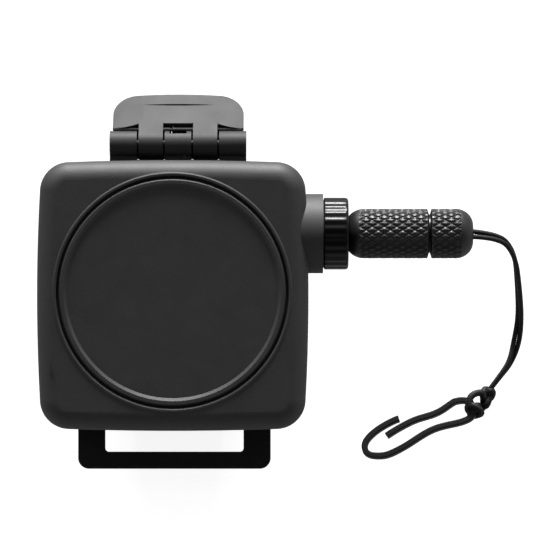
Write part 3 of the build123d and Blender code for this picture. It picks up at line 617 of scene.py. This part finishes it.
def moulded_group():
    """Moulded plastic: fine even grain, with faint cloudiness in its colour and its gloss."""
    group = bpy.data.node_groups.new("moulded grain", "ShaderNodeTree")
    sockets = group.interface
    sockets.new_socket("Vector", in_out="INPUT", socket_type="NodeSocketVector")
    sockets.new_socket("Dark", in_out="INPUT", socket_type="NodeSocketColor")
    sockets.new_socket("Light", in_out="INPUT", socket_type="NodeSocketColor")
    sockets.new_socket("Grain", in_out="INPUT", socket_type="NodeSocketFloat")
    sockets.new_socket("Cloud", in_out="INPUT", socket_type="NodeSocketFloat")
    sockets.new_socket("Rough Low", in_out="INPUT", socket_type="NodeSocketFloat")
    sockets.new_socket("Rough High", in_out="INPUT", socket_type="NodeSocketFloat")
    sockets.new_socket("Colour", in_out="OUTPUT", socket_type="NodeSocketColor")
    sockets.new_socket("Roughness", in_out="OUTPUT", socket_type="NodeSocketFloat")
    sockets.new_socket("Height", in_out="OUTPUT", socket_type="NodeSocketFloat")
    start = node(group, "NodeGroupInput")
    end = node(group, "NodeGroupOutput")
    grain = node(group, "ShaderNodeTexNoise", Detail=3.0, Roughness=0.6)
    group.links.new(start.outputs["Vector"], grain.inputs["Vector"])
    group.links.new(start.outputs["Grain"], grain.inputs["Scale"])
    cloud = node(group, "ShaderNodeTexNoise", Detail=4.0, Roughness=0.55)
    group.links.new(start.outputs["Vector"], cloud.inputs["Vector"])
    group.links.new(start.outputs["Cloud"], cloud.inputs["Scale"])
    both = node(group, "ShaderNodeMath", operation="MULTIPLY_ADD")
    group.links.new(grain.outputs["Fac"], both.inputs[0])
    both.inputs[1].default_value = 0.55
    shared = node(group, "ShaderNodeMath", operation="MULTIPLY")
    group.links.new(cloud.outputs["Fac"], shared.inputs[0])
    shared.inputs[1].default_value = 0.45
    group.links.new(shared.outputs[0], both.inputs[2])
    sharper = node(group, "ShaderNodeMapRange")
    group.links.new(both.outputs[0], sharper.inputs["Value"])
    sharper.inputs["From Min"].default_value = 0.3
    sharper.inputs["From Max"].default_value = 0.7
    colour = node(group, "ShaderNodeMix", data_type="RGBA")
    group.links.new(sharper.outputs["Result"], colour.inputs["Factor"])
    group.links.new(start.outputs["Dark"], colour.inputs["A"])
    group.links.new(start.outputs["Light"], colour.inputs["B"])
    group.links.new(colour.outputs["Result"], end.inputs["Colour"])
    rough = node(group, "ShaderNodeMapRange")
    group.links.new(cloud.outputs["Fac"], rough.inputs["Value"])
    group.links.new(start.outputs["Rough Low"], rough.inputs["To Min"])
    group.links.new(start.outputs["Rough High"], rough.inputs["To Max"])
    group.links.new(rough.outputs["Result"], end.inputs["Roughness"])
    group.links.new(grain.outputs["Fac"], end.inputs["Height"])
    return group


moulded_grain = moulded_group()


def plastic_material(name, dark, light, grain, rough, bump_strength, specular=0.5):
    """A moulded plastic or rubber with its own colour, grain size and gloss."""
    material, tree, shader = new_material(name)
    place = node(tree, "ShaderNodeTexCoord")
    skin = node(tree, "ShaderNodeGroup", node_tree=moulded_grain)
    tree.links.new(place.outputs["Object"], skin.inputs["Vector"])
    skin.inputs["Dark"].default_value = grey(dark, 0.03)
    skin.inputs["Light"].default_value = grey(light, 0.03)
    skin.inputs["Grain"].default_value = grain
    skin.inputs["Cloud"].default_value = 180.0
    skin.inputs["Rough Low"].default_value = rough[0]
    skin.inputs["Rough High"].default_value = rough[1]
    tree.links.new(skin.outputs["Colour"], shader.inputs["Base Color"])
    tree.links.new(skin.outputs["Roughness"], shader.inputs["Roughness"])
    bump = node(tree, "ShaderNodeBump", Strength=bump_strength, Distance=0.00005)
    tree.links.new(skin.outputs["Height"], bump.inputs["Height"])
    tree.links.new(bump.outputs["Normal"], shader.inputs["Normal"])
    shader.inputs["Specular IOR Level"].default_value = specular
    return material


ring_acetal = plastic_material("gloss acetal", 0.002, 0.004, 4000.0, (0.26, 0.36), 0.05, 0.22)
ring.data.materials.append(ring_acetal)
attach(ring, "case")
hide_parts("nozzle_ring")
finish_node("cord_anchor", ring_acetal)
finish_node("barrel_washer", ring_acetal)

# ---------------------------------------------------------------- tether line
# The braided line runs straight from the drum, through the guide, to its crimp inside the grip.
# Its wound turns stay on the drum.
line_start = 0.008
line_end = 0.0541
line_rings = 240
line_points = [
    Vector((line_start + (line_end - line_start) * i / line_rings, fitting_y, fitting_z))
    for i in range(line_rings + 1)
]
tether = tube("braided_line", line_points, 0.00045, 16)


def line_material(name, dark, light):
    """The same braid on a straight line, laid out by the place along the line and the turn round its axis.
    """
    material, tree, shader = new_material(name)
    place = node(tree, "ShaderNodeTexCoord")
    parts = node(tree, "ShaderNodeSeparateXYZ")
    tree.links.new(place.outputs["Object"], parts.inputs[0])
    off_y = node(tree, "ShaderNodeMath", operation="SUBTRACT")
    tree.links.new(parts.outputs["Y"], off_y.inputs[0])
    off_y.inputs[1].default_value = fitting_y
    off_z = node(tree, "ShaderNodeMath", operation="SUBTRACT")
    tree.links.new(parts.outputs["Z"], off_z.inputs[0])
    off_z.inputs[1].default_value = fitting_z
    turn = node(tree, "ShaderNodeMath", operation="ARCTAN2")
    tree.links.new(off_z.outputs[0], turn.inputs[0])
    tree.links.new(off_y.outputs[0], turn.inputs[1])
    share = node(tree, "ShaderNodeMath", operation="DIVIDE")
    tree.links.new(turn.outputs[0], share.inputs[0])
    share.inputs[1].default_value = 2 * pi
    braid = node(tree, "ShaderNodeGroup", node_tree=braided_yarn)
    tree.links.new(parts.outputs["X"], braid.inputs["Along"])
    tree.links.new(share.outputs[0], braid.inputs["Round"])
    braid.inputs["Pitch"].default_value = 0.0009
    braid.inputs["Yarns"].default_value = 3
    # Painted highlight and shade: the braid's height mixes a paler colour on the raised yarns and a darker
    # one in the gaps, the same height that drives the bump.
    colour = node(tree, "ShaderNodeMix", data_type="RGBA")
    tree.links.new(braid.outputs["Height"], colour.inputs["Factor"])
    colour.inputs["A"].default_value = grey(dark)
    colour.inputs["B"].default_value = grey(light)
    tree.links.new(colour.outputs["Result"], shader.inputs["Base Color"])
    bump = node(tree, "ShaderNodeBump", Strength=0.8, Distance=0.00008)
    tree.links.new(braid.outputs["Height"], bump.inputs["Height"])
    tree.links.new(bump.outputs["Normal"], shader.inputs["Normal"])
    shader.inputs["Roughness"].default_value = 0.6
    shader.inputs["Sheen Weight"].default_value = 0.1
    return material


tether_braid = line_material("tether braid", 0.006, 0.03)
tether.data.materials.append(tether_braid)
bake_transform(tether)
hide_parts("tether_line")

# The turns on the drum lie side by side, so their finish runs in fine rings round the reel's axis.
wound_finish, tree, shader = new_material("wound line")
place = node(tree, "ShaderNodeTexCoord")
turns = node(tree, "ShaderNodeTexWave", wave_type="BANDS", bands_direction="Z", Scale=350.0, Distortion=0.4)
tree.links.new(place.outputs["Object"], turns.inputs["Vector"])
# Painted highlight and shade: each ring is paler on its crown and darker in the groove between turns,
# following the same bands as the bump.
colour = node(tree, "ShaderNodeMix", data_type="RGBA")
tree.links.new(turns.outputs["Fac"], colour.inputs["Factor"])
colour.inputs["A"].default_value = grey(0.008)
colour.inputs["B"].default_value = grey(0.03)
tree.links.new(colour.outputs["Result"], shader.inputs["Base Color"])
bump = node(tree, "ShaderNodeBump", Strength=0.8, Distance=0.0003)
tree.links.new(turns.outputs["Fac"], bump.inputs["Height"])
tree.links.new(bump.outputs["Normal"], shader.inputs["Normal"])
shader.inputs["Roughness"].default_value = 0.65
finish_node("wound_line", wound_finish)

# ---------------------------------------------------------------- case and cover
# Both shells are injection moulded in dark grey glass-filled nylon with a fine even texture, and close
# on four screws from the back. The round cover is pressed into the front shell on three pegs.
case_nylon = plastic_material("case nylon", 0.017, 0.028, 2600.0, (0.55, 0.67), 0.5, 0.55)
finish_node("front_case", case_nylon)
finish_node("rear_case", case_nylon)
cover_nylon = plastic_material("cover nylon", 0.018, 0.029, 3000.0, (0.54, 0.66), 0.4, 0.55)
finish_node("face_cover", cover_nylon)

# ---------------------------------------------------------------- nozzle seal and line guide
# A rubber washer sits under the ring, and the line runs through a white acetal guide with flared ends.
washer_rubber = plastic_material("seal rubber", 0.012, 0.02, 1800.0, (0.7, 0.85), 0.4, 0.3)
finish_node("nozzle_washer", washer_rubber)
white_acetal = plastic_material("white acetal", 0.62, 0.72, 3000.0, (0.3, 0.42), 0.08)
for name in ("line_guide", "thrust_washer"):
    finish_node(name, white_acetal)

# ---------------------------------------------------------------- clip
# The lever and its base are moulded in the same nylon as the case, and turn on one steel pin. A rubber
# pad with three ridges is bonded to the jaw, and a coiled wire spring in the middle lug closes it.
clip_nylon = plastic_material("clip nylon", 0.013, 0.022, 2400.0, (0.55, 0.68), 0.5, 0.4)
finish_node("clip_lever", clip_nylon)
finish_node("clip_base", clip_nylon)
pad_rubber = plastic_material("pad rubber", 0.010, 0.018, 1500.0, (0.75, 0.9), 0.4, 0.25)
finish_node("jaw_pad", pad_rubber)


def steel_material(name, base, roughness, stretch, metallic=1.0):
    """Ground or drawn steel, whose fine lines run across the stretched way."""
    material, tree, shader = new_material(name)
    place = node(tree, "ShaderNodeTexCoord")
    turn = node(tree, "ShaderNodeMapping")
    turn.inputs["Scale"].default_value = stretch
    tree.links.new(place.outputs["Object"], turn.inputs["Vector"])
    lines = node(tree, "ShaderNodeTexNoise", Scale=1400.0, Detail=4.0, Roughness=0.6)
    tree.links.new(turn.outputs["Vector"], lines.inputs["Vector"])
    colour = node(tree, "ShaderNodeMix", data_type="RGBA")
    tree.links.new(lines.outputs["Fac"], colour.inputs["Factor"])
    colour.inputs["A"].default_value = (*[c * 0.8 for c in base], 1)
    colour.inputs["B"].default_value = (*base, 1)
    tree.links.new(colour.outputs["Result"], shader.inputs["Base Color"])
    rough = node(tree, "ShaderNodeMapRange")
    tree.links.new(lines.outputs["Fac"], rough.inputs["Value"])
    rough.inputs["To Min"].default_value = roughness - 0.08
    rough.inputs["To Max"].default_value = roughness + 0.08
    tree.links.new(rough.outputs["Result"], shader.inputs["Roughness"])
    bump = node(tree, "ShaderNodeBump", Strength=0.2, Distance=0.00002)
    tree.links.new(lines.outputs["Fac"], bump.inputs["Height"])
    tree.links.new(bump.outputs["Normal"], shader.inputs["Normal"])
    shader.inputs["Metallic"].default_value = metallic
    return material


pin_steel = steel_material("ground steel", (0.40, 0.40, 0.41), 0.32, (1, 6, 6))
for name in ("arbor", "barrel_stud"):
    finish_node(name, pin_steel)

# A thin curved web under the knuckles, moulded with the lever, joins its two arms and closes the hinge from
# behind; it is also painted shade, a dark sheet that fills the gaps between the knuckles where there would
# only be shade, so the table does not show through.
# It is drawn round the pin's axis, so that it clears the base's lugs as the lever turns.
hinge = Vector((0.00085, 0.0358, 0.0087))
web_inner, web_outer, web_half_width = 0.00335, 0.00395, 0.0156
web_start, web_sweep = radians(-8), radians(150)
bpy.ops.object.select_all(action="DESELECT")
bpy.ops.mesh.primitive_plane_add(size=2, location=(0, 0, 0))
web = bpy.context.object
web.name = "hinge_shade_web"
for v in web.data.vertices:
    reach = web_inner if v.co.y < 0 else web_outer
    across = web_half_width if v.co.x > 0 else -web_half_width
    v.co = hinge + Vector((across, reach * cos(web_start), reach * sin(web_start)))
bpy.ops.object.mode_set(mode="EDIT")
bpy.ops.mesh.select_all(action="SELECT")
bpy.ops.mesh.spin(steps=28, angle=web_sweep, center=hinge, axis=(1, 0, 0))
bpy.ops.mesh.select_all(action="SELECT")
bpy.ops.mesh.remove_doubles(threshold=0.000001)
bpy.ops.mesh.normals_make_consistent(inside=False)
bpy.ops.object.mode_set(mode="OBJECT")
edges = web.modifiers.new("edges", "BEVEL")
edges.width = 0.00012
edges.segments = 2
edges.limit_method = "ANGLE"
edges.angle_limit = radians(60)
bpy.ops.object.modifier_apply(modifier="edges")
bpy.ops.object.shade_smooth_by_angle(angle=radians(30))
web.data.materials.append(clip_nylon)
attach(web, "lever")

# The spring's coil and both its legs are one wire. One leg bears on the case and the other is caught in
# the tab.
coil_radius = 0.0014
coil_turns = 5 + 42 / 360
coil_height = coil_turns * 0.00062
tab_turn = radians(42)
coil_points = [hinge + Vector((coil_height / 2, -0.0046, coil_radius))]
coil_points.append(hinge + Vector((coil_height / 2, -0.0012, coil_radius)))
for i in range(round(coil_turns * 24) + 1):
    turn = 2 * pi * coil_turns * i / round(coil_turns * 24)
    across = coil_height / 2 - coil_height * turn / (2 * pi * coil_turns)
    coil_points.append(hinge + Vector((across, coil_radius * sin(turn), coil_radius * cos(turn))))
leg_way = Vector((0, cos(tab_turn), -sin(tab_turn)))
coil_points.append(coil_points[-1] + leg_way * 0.0030)
coil_points.append(coil_points[-1] + leg_way * 0.0036)
spring = tube("clip_spring_wire", evenly(coil_points, 0.0002)[0], 0.0003, 12)
spring_steel = steel_material("spring steel", (0.05, 0.05, 0.055), 0.45, (1, 1, 1))
spring.data.materials.append(spring_steel)
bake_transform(spring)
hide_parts("clip_spring")
finish_node("power_spring", spring_steel)

# ---------------------------------------------------------------- webbing loop
# Pressed from 1.2 mm steel plate and coated in matte black powder. It is let into the back of the case
# and clamped there by two of the clip's screws.
loop_coat = coated_material("powder coat", 0.006, 0.6, 0.06, 0.25)
finish_node("strap_loop", loop_coat)

# ---------------------------------------------------------------- screws and reel
# Black oxide socket screws, a black acetal drum that runs on a brass bushing, and a plain steel cover
# that keeps the wound spring in its cup.
screw_oxide = coated_material("black oxide", 0.008, 0.5, 0.08, 0.2)
for name in ("case_screws", "base_screws", "arbor_screw", "clip_pin"):
    finish_node(name, screw_oxide)
reel_acetal = plastic_material("reel acetal", 0.016, 0.026, 3200.0, (0.3, 0.42), 0.15)
finish_node("spool", reel_acetal)
finish_node("spool_flange", reel_acetal)
brass = steel_material("turned brass", (0.58, 0.42, 0.18), 0.3, (1, 1, 8))
finish_node("spool_bushing", brass)
finish_node("line_ferrule", brass)
plain_steel = steel_material("plain steel", (0.46, 0.46, 0.47), 0.38, (8, 1, 1))
finish_node("spring_cover", plain_steel)

# ---------------------------------------------------------------- table and light
# A plain white table, with a faint glow that lights nothing else. A large soft light stands low beyond
# the clip, and the room is bright at the level of the table and dark overhead.
table_glow = 0.8
bpy.ops.object.select_all(action="DESELECT")
bpy.ops.mesh.primitive_plane_add(size=4, location=(0, 0, -0.0002))
table = bpy.context.object
table.name = "table"
table_white, tree, shader = new_material("table white")
place = node(tree, "ShaderNodeTexCoord")
speck = node(tree, "ShaderNodeTexNoise", Scale=900.0, Detail=2.0)
tree.links.new(place.outputs["Object"], speck.inputs["Vector"])
colour = node(tree, "ShaderNodeMix", data_type="RGBA")
tree.links.new(speck.outputs["Fac"], colour.inputs["Factor"])
colour.inputs["A"].default_value = grey(0.90)
colour.inputs["B"].default_value = grey(0.92)
tree.links.new(colour.outputs["Result"], shader.inputs["Base Color"])
shader.inputs["Roughness"].default_value = 0.9
shader.inputs["Specular IOR Level"].default_value = 0.1
shader.inputs["Emission Color"].default_value = (1, 1, 1, 1)
sight = node(tree, "ShaderNodeLightPath")
glow = node(tree, "ShaderNodeMath", operation="MULTIPLY")
tree.links.new(sight.outputs["Is Camera Ray"], glow.inputs[0])
glow.inputs[1].default_value = table_glow
tree.links.new(glow.outputs[0], shader.inputs["Emission Strength"])
table.data.materials.append(table_white)

bpy.ops.object.select_all(action="DESELECT")
bpy.ops.object.light_add(type="SUN", location=(0, 1, 0.1), rotation=(radians(-85.5), 0, 0))
low_light = bpy.context.object
low_light.name = "low_light"
low_light.data.energy = 9
low_light.data.angle = radians(16)

room = bpy.data.worlds.new("room")
bpy.context.scene.world = room
room.use_nodes = True
tree = room.node_tree
place = node(tree, "ShaderNodeTexCoord")
parts = node(tree, "ShaderNodeSeparateXYZ")
tree.links.new(place.outputs["Generated"], parts.inputs[0])
fall = node(tree, "ShaderNodeMapRange")
tree.links.new(parts.outputs["Z"], fall.inputs["Value"])
fall.inputs["From Min"].default_value = 0.25
fall.inputs["From Max"].default_value = 0.92
fall.inputs["To Min"].default_value = 1.2
fall.inputs["To Max"].default_value = 0.12
side = node(tree, "ShaderNodeMapRange")
tree.links.new(parts.outputs["Y"], side.inputs["Value"])
side.inputs["From Min"].default_value = -0.2
side.inputs["From Max"].default_value = 0.8
side.inputs["To Min"].default_value = 0.4
side.inputs["To Max"].default_value = 1.0
shone = node(tree, "ShaderNodeMath", operation="MULTIPLY")
tree.links.new(fall.outputs["Result"], shone.inputs[0])
tree.links.new(side.outputs["Result"], shone.inputs[1])
tree.links.new(shone.outputs[0], tree.nodes["Background"].inputs["Strength"])
tree.nodes["Background"].inputs["Color"].default_value = (1, 1, 1, 1)
bpy.context.scene.view_settings.view_transform = "Standard"
bpy.context.scene.view_settings.look = "None"
